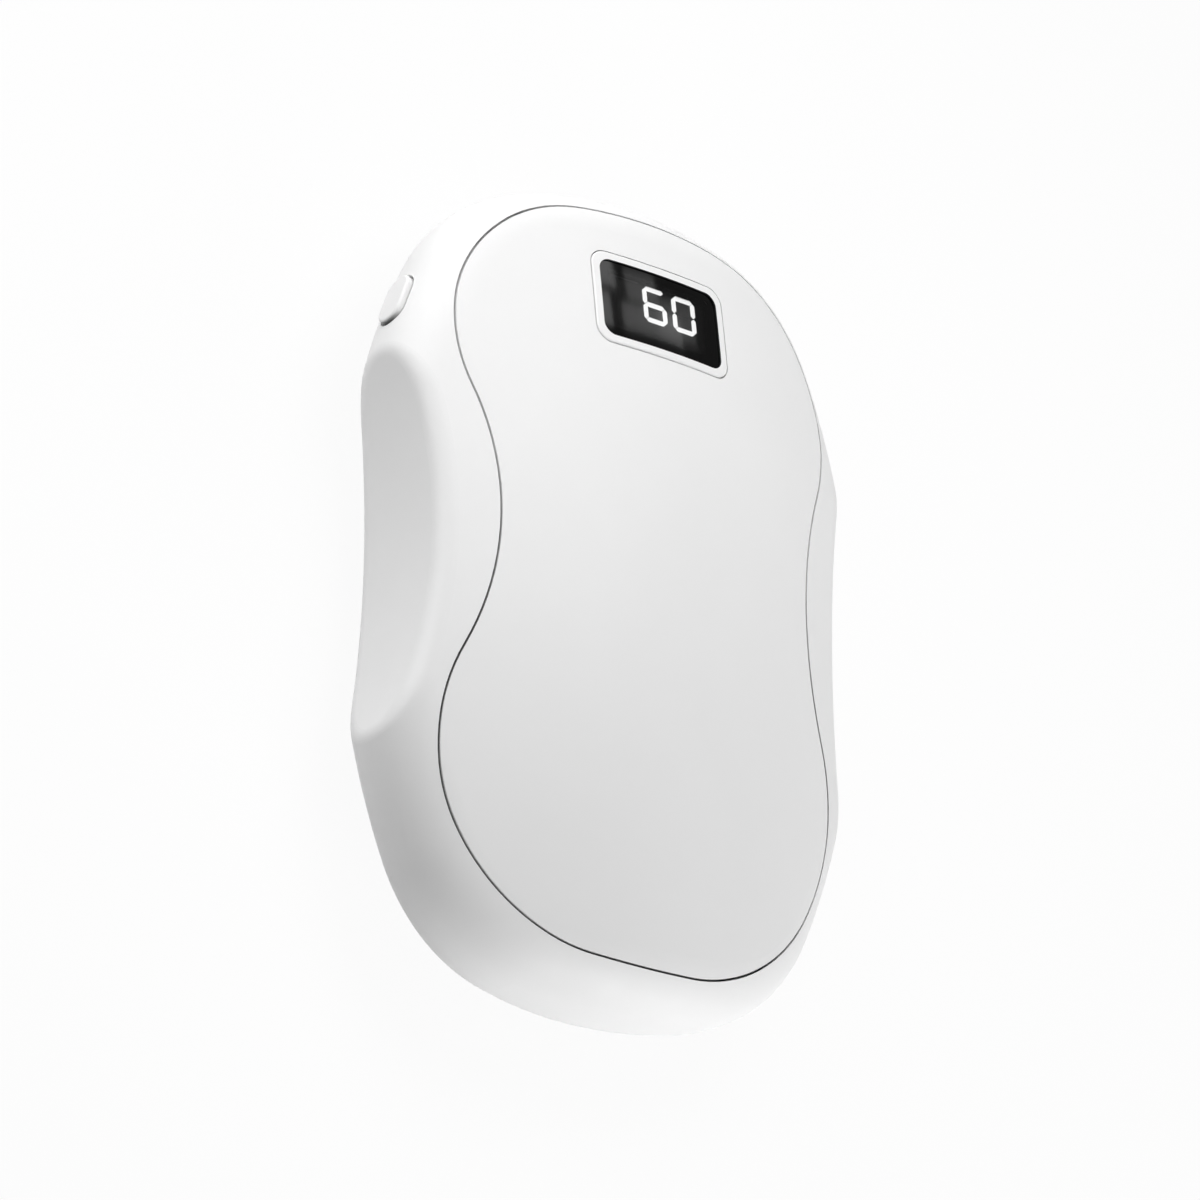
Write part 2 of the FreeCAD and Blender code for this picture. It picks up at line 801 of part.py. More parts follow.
shape = groove.Shape
front = [face for face in shape.Faces if isinstance(face.Surface, Part.Cylinder)]
front = max(front, key=lambda face: face.CenterOfMass.x)
hashes = [edge.hashCode() for edge in front.Edges]
edges = edge_names(shape, lambda edge: edge.hashCode() in hashes)
fillet(power_button, groove, edges, text(amount(button_edge_radius=1)), "button_edge")
flange_radius = amount(button_width=0.5, button_flange=1)
sketch = circle_sketch(power_button, "button_flange", "YZ_Plane", flange_radius, times(FLANGE_BACK, -1))
pad(power_button, sketch, amount(button_flange_thickness=1), "button_flange_pad")
nub_radius = amount(button_nub_radius=1)
sketch = circle_sketch(power_button, "button_nub", "YZ_Plane", nub_radius, times(NUB_END, -1))
pad(power_button, sketch, amount(button_nub_length=1), "button_nub_pad")
power_button.Placement = button_frame
nodes.append(power_button)

button_hole = new_body("button_hole")
sketch = pill_sketch(
    button_hole, "button_hole_outline", "YZ_Plane",
    plus(button_size, twice_clearance), plus(button_girth, twice_clearance), times(FLANGE_BACK, -1),
)
pad(button_hole, sketch, plus(FLANGE_BACK, OVERRUN))
button_hole.Placement = button_frame

switch_plunger = document.addObject("Part::Cylinder", "switch_plunger")
switch_plunger.setExpression("Radius", text(amount(plunger_radius=1)))
switch_plunger.setExpression("Height", text(amount(plunger_length=1)))
plunger_end = plus(NUB_END, amount(plunger_length=1))
switch_plunger.Placement = button_frame * move(-value(plunger_end), 0, 0) * turned((0, 1, 0), 90)
nodes.append(switch_plunger)

switch_case = document.addObject("Part::Box", "switch_case")
switch_case.setExpression("Length", text(amount(switch_depth=1)))
switch_case.setExpression("Width", text(amount(switch_length=1)))
switch_case.setExpression("Height", text(amount(usb_height=1)))
switch_back = plus(SWITCH_FRONT, amount(switch_depth=1))
switch_case.Placement = button_frame * move(
    -value(switch_back), -value(amount(switch_length=0.5)), -value(amount(usb_height=0.5)))
switch_bore = document.addObject("Part::Cylinder", "switch_bore")
switch_bore.setExpression("Radius", text(amount(plunger_radius=1, plunger_clearance=1)))
switch_bore.setExpression("Height", text(amount(plunger_length=1, button_travel=1, plunger_clearance=2)))
bore_end = plus(plunger_end, amount(button_travel=1, plunger_clearance=2))
switch_bore.Placement = button_frame * move(-value(bore_end), 0, 0) * turned((0, 1, 0), 90)
document.recompute()
nodes.append(boolean("Cut", "tact_switch", switch_case, switch_bore))


# Housing: the pebble with a rebate for each cover, hollow, with bosses


usb_front = amount(body_length=0.5, usb_recess=-1)
usb_slot = new_body("usb_slot")
sketch = pill_sketch(
    usb_slot, "usb_slot_outline", "XZ_Plane",
    amount(usb_width=1, usb_clearance=2), amount(usb_height=1, usb_clearance=2),
    times(plus(amount(body_length=0.5), OVERRUN), -1), EQUATOR,
)
pad(usb_slot, sketch, plus(OVERRUN, WALL, WALL))

below = times(OVERRUN, -1)
whole = plus(APEX, times(OVERRUN, 2))
rebate_prism = outline_prism("rebate_prism", PEANUT, amount(seam_gap=-1), below, whole)
opening_prism = outline_prism("opening_prism", PEANUT, amount(ledge_width=1, seam_gap=-1), below, whole)
front_prism = outline_prism("front_prism", PEANUT, NOTHING, EQUATOR, plus(APEX, OVERRUN))
rear_prism = outline_prism("rear_prism", PEANUT, NOTHING, below, plus(EQUATOR, OVERRUN))

ear_places = []
for side in (1, -1):
    ear_x = times(plus(times(CELL_WIDTH, 0.5), amount(ear_reach=1)), side)
    ear_places.append((ear_x, plus(CELL_TOP_END, amount(ear_top_run=1)), side))
    ear_places.append((ear_x, plus(CELL_BOTTOM_END, amount(ear_bottom_run=1)), side))
board_places = []
for side in (1, -1):
    screw_x = amount(body_width=0.5 * side, board_screw_inset=-side)
    board_places.append((screw_x, amount(body_length=0.5, board_screw_drop=-1)))
EAR_TOP = plus(EAR_HEIGHT, amount(ear_thickness=1))
boss_height = amount(boss_height=1)
boss_radius = amount(boss_radius=1)
pieces = []
holes = []
for index, (x, y, side) in enumerate(ear_places):
    bottom = minus(EAR_HEIGHT, boss_height)
    pieces.append(rod("tray_boss_%d" % index, boss_radius, boss_height, x, y, bottom))
    rib_x = plus(x, times(OVERRUN, 0.5 * side))
    pieces.append(block("tray_rib_%d" % index, OVERRUN, boss_radius, boss_height, rib_x, y, bottom))
    pilot = amount(screw_radius=1, pilot_clearance=1)
    reach = minus(EAR_TOP, amount(screw_length=1, pilot_clearance=1))
    holes.append(rod("tray_pilot_%d" % index, pilot, OVERRUN, x, y, reach))
for index, (x, y) in enumerate(board_places):
    bottom = minus(BOARD_BOTTOM, boss_height)
    pieces.append(rod("board_boss_%d" % index, boss_radius, boss_height, x, y, bottom))
    rib_y = plus(y, times(OVERRUN, 0.5))
    pieces.append(block("board_rib_%d" % index, boss_radius, OVERRUN, boss_height, x, rib_y, bottom))
    reach = minus(BOARD_TOP, amount(screw_length=1, pilot_clearance=1))
    holes.append(rod("board_pilot_%d" % index, pilot, OVERRUN, x, y, reach))
bosses = boolean("Common", "bosses", fused("boss_group", pieces), cover_pebble)

rim_shell = boolean("Cut", "rim_shell", outer_pebble, rebate_prism)
ledge_shell = fused("ledge_shell", [rim_shell, cover_pebble])
hollow_shell = boolean("Cut", "hollow_shell", ledge_shell, cavity_pebble)
open_shell = boolean("Cut", "open_shell", hollow_shell, opening_prism)
bossed_shell = fused("bossed_shell", [open_shell, bosses])
cut_tools = fused("housing_cuts", [button_hole, usb_slot] + holes)
main_housing = boolean("Cut", "main_housing", bossed_shell, cut_tools)
nodes.append(main_housing)


# Display: bezel, lens, number block and its board


display_y = DISPLAY_PLACE
bezel_width = amount(bezel_width=1)
bezel_height = amount(bezel_height=1)
twice_ring = amount(bezel_ring=-2)
window_corner = amount(bezel_corner=1, bezel_ring=-0.5)
flange_inset = amount(cover_thickness=1, bezel_flange_thickness=1)
half_depth = plus(amount(body_depth=0.5), times(OVERRUN, 0.5))


def crowned(label, width, height, corner, upper, lower):
    body = rounded_prism(label, width, height, corner, NOTHING, display_y, EQUATOR, half_depth)
    crown_cut(body, label + "_top", upper)
    crown_cut(body, label + "_floor", lower, outside=False)
    return body


grow = amount(bezel_flange=2)
bezel_flange = crowned(
    "bezel_flange", plus(bezel_width, grow), plus(bezel_height, grow),
    amount(bezel_corner=1, bezel_flange=1), amount(cover_thickness=1), flange_inset)
bezel_ring = crowned(
    "bezel_ring", bezel_width, bezel_height, amount(bezel_corner=1), amount(bezel_rise=-1), flange_inset)
last = bezel_ring.Tip
shape = last.Shape


def on_ring_top(edge):
    middle = edge.CenterOfMass
    depth = amount(cover_thickness=0.5)
    return "Toroid" in surface_kinds(shape, edge) and middle.z > crown_height(middle.x, middle.y, depth)


ring_edges = edge_names(shape, on_ring_top)
fillet(bezel_ring, last, ring_edges, text(amount(bezel_edge_radius=1)), "bezel_edge")
lens_seat = rounded_prism(
    "lens_seat", plus(bezel_width, twice_ring), plus(bezel_height, twice_ring), window_corner,
    NOTHING, display_y, EQUATOR, half_depth)
crown_cut(lens_seat, "lens_seat_floor", amount(lens_recess=1, lens_thickness=1), outside=False)
step = amount(lens_step=-2)
lens_opening = rounded_prism(
    "lens_opening", plus(bezel_width, twice_ring, step), plus(bezel_height, twice_ring, step),
    amount(bezel_corner=0.5), NOTHING, display_y, EQUATOR, half_depth)
bezel_blank = fused("bezel_blank", [bezel_flange, bezel_ring])
bezel_cuts = fused("bezel_cuts", [lens_seat, lens_opening])
nodes.append(boolean("Cut", "display_bezel", bezel_blank, bezel_cuts))
slack = amount(lens_clearance=-2)
display_lens = crowned(
    "display_lens", plus(bezel_width, twice_ring, slack), plus(bezel_height, twice_ring, slack),
    minus(window_corner, amount(lens_clearance=1)),
    amount(lens_recess=1), amount(lens_recess=1, lens_thickness=1))
nodes.append(display_lens)

spare = amount(bezel_clearance=2)
bezel_hole = rounded_prism(
    "bezel_hole", plus(bezel_width, spare), plus(bezel_height, spare),
    amount(bezel_corner=1, bezel_clearance=1), NOTHING, display_y, EQUATOR, half_depth)
front_blank = boolean("Common", "front_blank", outer_pebble, front_prism)
front_shell = boolean("Cut", "front_shell", front_blank, cover_pebble)
nodes.append(boolean("Cut", "front_cover", front_shell, bezel_hole))
rear_blank = boolean("Common", "rear_blank", outer_pebble, rear_prism)
nodes.append(boolean("Cut", "rear_cover", rear_blank, cover_pebble))

tilt = math.degrees(math.asin(value(display_y) / value(amount(crown_radius_along=1))))
display_frame = FreeCAD.Placement(
    FreeCAD.Vector(0, value(display_y), crown_height(0, value(display_y), NOTHING)),
    FreeCAD.Rotation(FreeCAD.Vector(1, 0, 0), -tilt),
)


def tilted_block(label, width, height, depth, bottom):
    box = document.addObject("Part::Box", label)
    box.Label = label
    box.setExpression("Length", text(width))
    box.setExpression("Width", text(height))
    box.setExpression("Height", text(depth))
    box.Placement = display_frame * move(-value(width) / 2, -value(height) / 2, value(bottom))
    document.recompute()
    return box


SEGMENT_TOP = amount(lens_recess=-1, lens_thickness=-1, display_gap=-1)
SEGMENT_FLOOR = plus(SEGMENT_TOP, amount(segment_depth=-1))
BLOCK_FLOOR = plus(SEGMENT_FLOOR, amount(display_block_height=-1))
DISPLAY_FLOOR = plus(BLOCK_FLOOR, amount(display_board_thickness=-1))
side_gap = amount(display_side_gap=-2)
block_width = plus(bezel_width, twice_ring, step, side_gap)
block_height = plus(bezel_height, twice_ring, step, side_gap)
block_depth = amount(display_block_height=1)
nodes.append(tilted_block("display_block", block_width, block_height, block_depth, BLOCK_FLOOR))
margin = amount(display_board_margin=2)
nodes.append(tilted_block(
    "display_board", plus(block_width, margin), plus(block_height, margin),
    amount(display_board_thickness=1), DISPLAY_FLOOR))


def segment_bar(label, length):
    body = new_body(label)
    sketch = new_sketch(body, label + "_outline", "XY_Plane")
    tip = times(length, 0.5)
    rise = amount(segment_width=0.5)
    flat = minus(tip, rise)
    far, near, high = value(tip), value(flat), value(rise)
    points = [(-far, 0), (-near, -high), (near, -high), (far, 0), (near, high), (-near, high)]
    for index in range(6):
        add_line(sketch, points[index], points[(index + 1) % 6])
    for index in range(6):
        fix(sketch, "Coincident", index, 2, (index + 1) % 6, 1)
    fix(sketch, "PointOnObject", 0, 1, -1)
    fix(sketch, "PointOnObject", 3, 1, -1)
    bind(sketch, "DistanceX", (0, 1, -1, 1), tip)
    bind(sketch, "DistanceX", (-1, 1, 3, 1), tip)
    for index, turn in ((1, -1), (4, 1)):
        fix(sketch, "Horizontal", index)
        bind(sketch, "DistanceY", (-1, 1, index, 1), times(rise, turn))
        bind(sketch, "DistanceX", (-1, 1, index, 1), times(flat, turn))
        bind(sketch, "DistanceX", (-1, 1, index, 2), times(flat, -turn))
    pad(body, sketch, amount(segment_depth=1))
    return body


flat_bar = segment_bar("flat_bar", amount(digit_width=1, segment_break=-1))
tall_bar = segment_bar("tall_bar", amount(digit_height=0.5, segment_break=-1))
half_width = value(amount(digit_width=0.5))
half_height = value(amount(digit_height=0.5))
bar_places = {
    "a": (flat_bar, 0, half_height, 0),
    "b": (tall_bar, half_width, half_height / 2, 90),
    "c": (tall_bar, half_width, -half_height / 2, 90),
    "d": (flat_bar, 0, -half_height, 0),
    "e": (tall_bar, -half_width, -half_height / 2, 90),
    "f": (tall_bar, -half_width, half_height / 2, 90),
    "g": (flat_bar, 0, 0, 0),
}
lit = []
dark = []
for digit, (lit_bars, side) in enumerate((("acdefg", -1), ("abcdef", 1))):
    middle = value(amount(digit_offset=1, digit_pitch=0.5 * side))
    rise = value(amount(digit_rise=1))
    for bar, (source, x, y, angle) in bar_places.items():
        place = display_frame * move(middle + x, rise + y, value(SEGMENT_FLOOR)) * turned((0, 0, 1), angle)
        piece = copy_at("bar_%d_%s" % (digit, bar), source, place)
        (lit if bar in lit_bars else dark).append(piece)
nodes.append(group("digit_segments_lit", lit))
nodes.append(group("digit_segments_dark", dark))


# Heated faces: plate against the cover, film on the plate, foam behind


plate_top = amount(cover_thickness=1)
film_top = plus(plate_top, amount(plate_thickness=1))
foam_top = plus(film_top, amount(film_thickness=1))


def heater_layer(label, margin, upper, lower, front):
    bottom = EQUATOR if front else NOTHING
    height = half_depth if front else EQUATOR
    body = outline_prism(label, PEANUT, margin, bottom, height)
    if front:
        room = plus(PEANUT["top"], OVERRUN)
        edge = minus(HEATER_END, minus(margin, amount(heater_margin=1)))
        width = plus(amount(body_width=1), OVERRUN)
        length = minus(room, edge)
        centre = times(plus(room, edge), 0.5)
        end_corner = amount(heater_end_corner=1)
        above = plus(APEX, OVERRUN)
        sketch = rounded_sketch(body, label + "_end", width, length, end_corner, NOTHING, centre, above)
        pocket(body, sketch, plus(APEX, OVERRUN))
    crown_cut(body, label + "_upper", upper, front)
    crown_cut(body, label + "_lower", lower, front, outside=False)
    return body


plate_margin = amount(heater_margin=1)
film_edge = amount(heater_margin=1, film_margin=1)
for front, end in ((True, "front"), (False, "rear")):
    nodes.append(heater_layer(end + "_heat_plate", plate_margin, plate_top, film_top, front))
    nodes.append(heater_layer(end + "_heater_film", film_edge, film_top, foam_top, front))

CELLS_TOP = plus(TRAY_FLOOR, times(CELL_THICKNESS, 2))
foam_size = (plus(CELL_WIDTH, amount(foam_side_margin=-2)), plus(CELL_LENGTH, amount(foam_end_margin=-2)))
front_foam = rounded_prism(
    "front_foam", *foam_size, amount(foam_corner=1),
    NOTHING, CELL_MIDDLE, CELLS_TOP, minus(plus(APEX, times(OVERRUN, 0.5)), CELLS_TOP))
crown_cut(front_foam, "front_foam_top", foam_top)
rear_foam = rounded_prism(
    "rear_foam", *foam_size, amount(foam_corner=1),
    NOTHING, CELL_MIDDLE, NOTHING, TRAY_BASE)
crown_cut(rear_foam, "rear_foam_floor", foam_top, front=False)
nodes += [front_foam, rear_foam]

thermistors = []
bead = value(amount(thermistor_radius=1))
bead_x = value(plus(times(foam_size[0], 0.5), amount(thermistor_side_gap=1)))
bead_y = -value(amount(thermistor_place=1))
bead_end = bead_y - value(amount(thermistor_length=0.5))
bead_rise = bead + value(amount(thermistor_gap=1))
bead_levels = [
    crown_height(bead_x, bead_end, foam_top) - bead_rise,
    rear_crown_height(bead_x, bead_end, foam_top) + bead_rise,
]
for index, level in enumerate(bead_levels):
    body = document.addObject("Part::Cylinder", "thermistor_%d" % index)
    body.setExpression("Radius", text(amount(thermistor_radius=1)))
    body.setExpression("Height", text(amount(thermistor_length=1)))
    body.Placement = move(bead_x, bead_end, level) * turned((1, 0, 0), -90)
    thermistors.append(body)
nodes.append(group("thermistors", thermistors))


# Battery pack: tray with ears, two flat cells, tabs and their board


cell_room = plus(CELL_WIDTH, amount(cell_clearance=2))
tray_room = plus(CELL_LENGTH, amount(tray_end_room=1, cell_clearance=2))
walls = amount(tray_wall=2)
tray_y = plus(CELL_MIDDLE, amount(tray_end_room=0.5))
cell_corner = amount(cell_corner=1)
tray_body = rounded_prism(
    "tray_body", plus(cell_room, walls), plus(tray_room, walls), plus(cell_corner, amount(tray_wall=1)),
    NOTHING, tray_y, TRAY_BASE, TRAY_HEIGHT)
tray_top = plus(TRAY_BASE, TRAY_HEIGHT)
sketch = rounded_sketch(tray_body, "tray_room", cell_room, tray_room, cell_corner, NOTHING, tray_y, tray_top)
pocket(tray_body, sketch, minus(TRAY_HEIGHT, amount(tray_wall=1)))
rims = amount(tray_window_rim=-2)
sketch = rounded_sketch(
    tray_body, "tray_window", plus(cell_room, rims), plus(tray_room, rims), cell_corner,
    NOTHING, tray_y, tray_top)
pocket(tray_body, sketch, times(TRAY_HEIGHT, 2))
ears = [tray_body]
ear_holes = []
for index, (x, y, side) in enumerate(ear_places):
    ear = amount(ear_radius=1)
    thick = amount(ear_thickness=1)
    height = EAR_HEIGHT
    ears.append(rod("tray_ear_%d" % index, ear, thick, x, y, height))
    wall_x = times(plus(cell_room, amount(tray_wall=1)), 0.5 * side)
    web = minus(times(x, side), times(wall_x, side))
    web_x = times(plus(x, wall_x), 0.5)
    ears.append(block("tray_web_%d" % index, web, amount(ear_radius=2), thick, web_x, y, height))
    clear = amount(screw_radius=1, screw_clearance=1)
    ear_holes.append(rod("tray_hole_%d" % index, clear, OVERRUN, x, y, minus(height, times(OVERRUN, 0.5))))
nodes.append(boolean("Cut", "battery_tray", fused("tray_blank", ears), fused("tray_holes", ear_holes)))

cell_floors = {
    "rear_cell": TRAY_FLOOR,
    "front_cell": plus(TRAY_FLOOR, CELL_THICKNESS),
}
for label, bottom in cell_floors.items():
    body = rounded_prism(
        label, CELL_WIDTH, CELL_LENGTH, cell_corner,
        NOTHING, CELL_MIDDLE, bottom, CELL_THICKNESS)
    shape = body.Shape
    flat = value(amount(cell_edge=0.5))
    edges = edge_names(shape, lambda edge: edge.BoundBox.ZLength < flat)
    fillet(body, body.Tip, edges, text(amount(cell_edge=1)))
    nodes.append(body)

tab_y = plus(CELL_TOP_END, amount(tab_run=0.5))
tabs = []
tab_level_shares = (0.5, 1.5)
for share in tab_level_shares:
    bottom = plus(TRAY_FLOOR, times(CELL_THICKNESS, share), amount(tab_thickness=-0.5))
    for side in (1, -1):
        label = "tab_%d_%d" % (len(tabs), side)
        tabs.append(block(
            label, amount(tab_width=1), amount(tab_run=1), amount(tab_thickness=1),
            amount(tab_offset=side), tab_y, bottom))
nodes.append(group("cell_tabs", tabs))
guard_y = plus(CELL_TOP_END, amount(tab_run=1, protection_thickness=0.5))
guard_z = plus(TRAY_FLOOR, CELL_THICKNESS, amount(protection_height=-0.5))
nodes.append(block(
    "protection_board", plus(CELL_WIDTH, amount(protection_margin=-2)), amount(protection_thickness=1),
    amount(protection_height=1), NOTHING, guard_y, guard_z))


# Main board and what stands on it


board_inset = plus(WALL, amount(board_clearance=1))
board_body = outline_prism("board_body", OVAL, board_inset, BOARD_BOTTOM, amount(board_thickness=1))
sketch = scoop_sketch(board_body, "board_scoops", board_inset)
pocket(board_body, sketch, plus(APEX, times(OVERRUN, 2)))
room = amount(body_length=-0.5, cut_overrun=-1)
edge = plus(DISPLAY_PLACE, amount(board_drop=-1))
sketch = rounded_sketch(
    board_body, "board_end", plus(amount(body_width=1), OVERRUN), minus(edge, room),
    amount(heater_end_corner=1), NOTHING, times(plus(edge, room), 0.5), BOARD_TOP)
pocket(board_body, sketch, amount(board_thickness=1))
notch = document.addObject("Part::Box", "board_notch")
notch_depth = plus(FLANGE_BACK, amount(button_travel=1, plunger_clearance=3))
notch_width = plus(button_size, times(twice_clearance, 4))
notch.setExpression("Length", text(plus(notch_depth, OVERRUN)))
notch.setExpression("Width", text(notch_width))
notch.setExpression("Height", text(OVERRUN))
notch.Placement = button_frame * move(-value(notch_depth), -value(notch_width) / 2, -value(OVERRUN) / 2)
board_cuts = [notch]
for index, (x, y) in enumerate(board_places):
    clear = amount(screw_radius=1, screw_clearance=1)
    hole_floor = minus(BOARD_TOP, times(OVERRUN, 0.5))
    board_cuts.append(rod("board_hole_%d" % index, clear, OVERRUN, x, y, hole_floor))
nodes.append(boolean("Cut", "main_board", board_body, fused("board_cuts", board_cuts)))

usb_receptacle = new_body("usb_receptacle")
usb_size = (amount(usb_width=1), amount(usb_height=1))
sketch = pill_sketch(usb_receptacle, "usb_shell", "XZ_Plane", *usb_size, times(usb_front, -1), EQUATOR)
pad(usb_receptacle, sketch, amount(usb_depth=1))
thin = amount(usb_wall=-2)
sketch = pill_sketch(
    usb_receptacle, "usb_mouth", "XZ_Plane",
    plus(usb_size[0], thin), plus(usb_size[1], thin), times(usb_front, -1), EQUATOR)
pocket(usb_receptacle, sketch, amount(usb_depth=1, usb_back=-1), back=True)
nodes.append(usb_receptacle)
tongue_y = plus(usb_front, amount(usb_depth=-1, usb_back=1, tongue_depth=0.5))
nodes.append(block(
    "usb_tongue", amount(tongue_width=1), amount(tongue_depth=1), amount(tongue_thickness=1),
    NOTHING, tongue_y, plus(EQUATOR, amount(tongue_thickness=-0.5))))

socket_y = plus(edge, amount(socket_width=0.5))
nodes.append(block(
    "lead_sockets", amount(socket_length=1), amount(socket_width=1), amount(socket_height=1),
    amount(heater_wire_offset=1), socket_y, BOARD_TOP))
chips = [
    block("chip_large", amount(chip_large=1), amount(chip_large=1), amount(chip_height=1),
          amount(chip_offset=1), CHIP_PLACE, BOARD_TOP),
    block("chip_small", amount(chip_small=1), amount(chip_small=1), amount(chip_height=1),
          amount(chip_offset=1), plus(CHIP_PLACE, amount(chip_step=1)), BOARD_TOP),
]
nodes.append(group("control_chips", chips))
nodes.append(rounded_prism(
    "power_inductor", amount(inductor_size=1), amount(inductor_size=1), amount(inductor_corner=1),
    amount(chip_offset=-1), CHIP_PLACE, BOARD_TOP, amount(inductor_height=1)))
capacitors = []
for index in range(4):
    x = amount(capacitor_pitch=index - 1.5)
    capacitors.append(block(
        "capacitor_%d" % index, amount(capacitor_width=1), amount(capacitor_length=1),
        amount(capacitor_width=1), x, plus(CHIP_PLACE, amount(capacitor_shift=1)), BOARD_TOP))
nodes.append(group("chip_capacitors", capacitors))

pin_count = 5
header_y = display_y
header = [block(
    "header_strip", amount(pin_pitch=pin_count), amount(header_width=1), amount(header_height=1),
    NOTHING, header_y, BOARD_TOP)]
lean = math.radians(tilt)
board_under = display_frame.Base.z + value(DISPLAY_FLOOR) / math.cos(lean)
pin_base = value(plus(BOARD_TOP, amount(header_height=1)))
pin_lean = value(amount(pin_radius=1)) * math.tan(lean)
for index in range(pin_count):
    pin = document.addObject("Part::Cylinder", "header_pin_%d" % index)
    pin.setExpression("Radius", text(amount(pin_radius=1)))
    pin.Height = board_under - pin_lean - value(amount(pin_gap=1)) - pin_base
    x = value(amount(pin_pitch=index - (pin_count - 1) / 2))
    pin.Placement = move(x, value(header_y), pin_base)
    header.append(pin)
nodes.append(fused("display_header", header))


# Wires: straight runs joined by one tangent bend


def bent_lead(label, x, start, level, turn_y, end):
    body = new_body(label)
    path = new_sketch(body, label + "_path", "YZ_Plane", x)
    bend = value(amount(wire_bend=1))
    add_line(path, (value(start), level), (value(turn_y) - bend, level))
    add_arc(path, (value(turn_y) - bend, level - bend), bend, 0, math.pi / 2)
    add_line(path, (value(turn_y), level - bend), (value(turn_y), value(end)))
    fix(path, "Tangent", 0, 2, 1, 2)
    fix(path, "Tangent", 1, 1, 2, 1)
    fix(path, "Horizontal", 0)
    fix(path, "Vertical", 2)
    bind(path, "Radius", (1,), amount(wire_bend=1))
    bind(path, "DistanceX", (-1, 1, 0, 1), start)
    path.addConstraint(Sketcher.Constraint("DistanceY", -1, 1, 0, 1, level))
    bind(path, "DistanceX", (-1, 1, 2, 2), turn_y)
    bind(path, "DistanceY", (-1, 1, 2, 2), end)
    section = new_sketch(body, label + "_section", "XZ_Plane", times(start, -1))
    centre = FreeCAD.Vector(value(x), level, 0)
    circle = Part.Circle(centre, FreeCAD.Vector(0, 0, 1), value(amount(wire_radius=1)))
    section.addGeometry(circle, False)
    bind(section, "Radius", (0,), amount(wire_radius=1))
    bind(section, "DistanceX", (-1, 1, 0, 3), x)
    section.addConstraint(Sketcher.Constraint("DistanceY", -1, 1, 0, 3, level))
    document.recompute()
    pipe = body.newObject("PartDesign::AdditivePipe", label + "_pipe")
    pipe.Profile = section
    pipe.Spine = path
    document.recompute()
    return body


lead_start = plus(guard_y, amount(protection_thickness=0.5))
lead_level = value(plus(tray_top, amount(wire_radius=1, wire_gap=1)))
for label, side in (("battery_lead_red", 1), ("battery_lead_black", -1)):
    x = amount(battery_wire_offset=side)
    nodes.append(bent_lead(label, x, lead_start, lead_level, socket_y, BOARD_TOP))

leads = []
heater_start = plus(HEATER_END, amount(wire_run=-1))
socket_top = plus(BOARD_TOP, amount(socket_height=1))
for index, side in enumerate((1, -1)):
    x = amount(heater_wire_offset=1, wire_spacing=0.5 * side)
    outer_x = value(amount(heater_wire_offset=1, wire_spacing=0.5, wire_radius=1))
    level = crown_height(outer_x, value(HEATER_END), foam_top)
    level -= value(amount(wire_radius=1, wire_gap=1))
    leads.append(bent_lead("front_heater_lead_%d" % index, x, heater_start, level, socket_y, socket_top))
    rear = document.addObject("Part::Cylinder", "rear_heater_lead_%d" % index)
    rear.setExpression("Radius", text(amount(wire_radius=1)))
    far_y = value(plus(socket_y, amount(wire_radius=1)))
    floor = rear_crown_height(outer_x, far_y, foam_top) + value(amount(wire_gap=1))
    rear.Height = value(BOARD_BOTTOM) - floor
    rear.Placement = move(-value(x), value(socket_y), floor)
    leads.append(rear)
nodes.append(group("heater_leads", leads))


# Screws


head_radius = amount(screw_head_radius=1)
head_height = amount(screw_head_height=1)
screw_head = rod("screw_head", head_radius, head_height, NOTHING, NOTHING, NOTHING)
screw_shank = rod(
    "screw_shank", amount(screw_radius=1), amount(screw_length=1), NOTHING, NOTHING, amount(screw_length=-1))
slot_bottom = minus(head_height, amount(screw_slot_depth=1))
slots = []
for label, length, width in (("slot_x", "screw_head_radius", "screw_slot_width"),
                             ("slot_y", "screw_slot_width", "screw_head_radius")):
    slots.append(block(
        label, amount(**{length: 1.0}), amount(**{width: 1.0}), head_height, NOTHING, NOTHING, slot_bottom))
screw = boolean("Cut", "screw", fused("screw_blank", [screw_head, screw_shank]), fused("screw_slots", slots))
tray_screws = []
for index, (x, y, side) in enumerate(ear_places):
    tray_screws.append(copy_at("tray_screw_%d" % index, screw, move(value(x), value(y), value(EAR_TOP))))
nodes.append(group("tray_screws", tray_screws))
board_screws = []
for index, (x, y) in enumerate(board_places):
    board_screws.append(copy_at("board_screw_%d" % index, screw, move(value(x), value(y), value(BOARD_TOP))))
nodes.append(group("board_screws", board_screws))


# Check every object, then write each piece


document.recompute()
for item in document.Objects:
    if "Invalid" in item.State or "Error" in item.State:
        raise RuntimeError("failed: " + item.Label)
for node in nodes:
    if node.Shape.isNull() or not node.Shape.isValid():
        raise RuntimeError("bad shape: " + node.Label)
os.makedirs("parts", exist_ok=True)
for node in nodes:
    node.Shape.exportStep("parts/" + node.Label + ".step")
    print(node.Label, len(node.Shape.Solids), round(node.Shape.Volume, 2))
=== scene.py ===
import json
import math

import bpy
from mathutils import Matrix, Vector


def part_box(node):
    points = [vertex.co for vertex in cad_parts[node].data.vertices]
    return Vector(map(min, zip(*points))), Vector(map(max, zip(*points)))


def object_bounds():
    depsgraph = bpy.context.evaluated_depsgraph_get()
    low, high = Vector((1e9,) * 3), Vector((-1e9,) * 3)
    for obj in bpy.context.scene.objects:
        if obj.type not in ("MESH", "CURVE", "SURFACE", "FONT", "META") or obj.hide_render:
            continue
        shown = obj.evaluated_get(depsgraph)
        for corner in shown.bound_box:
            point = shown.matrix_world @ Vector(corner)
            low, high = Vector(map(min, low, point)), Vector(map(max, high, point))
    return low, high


# Rechargeable hand warmer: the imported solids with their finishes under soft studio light
# Lengths are in metres, powers in watts, and colours are linear

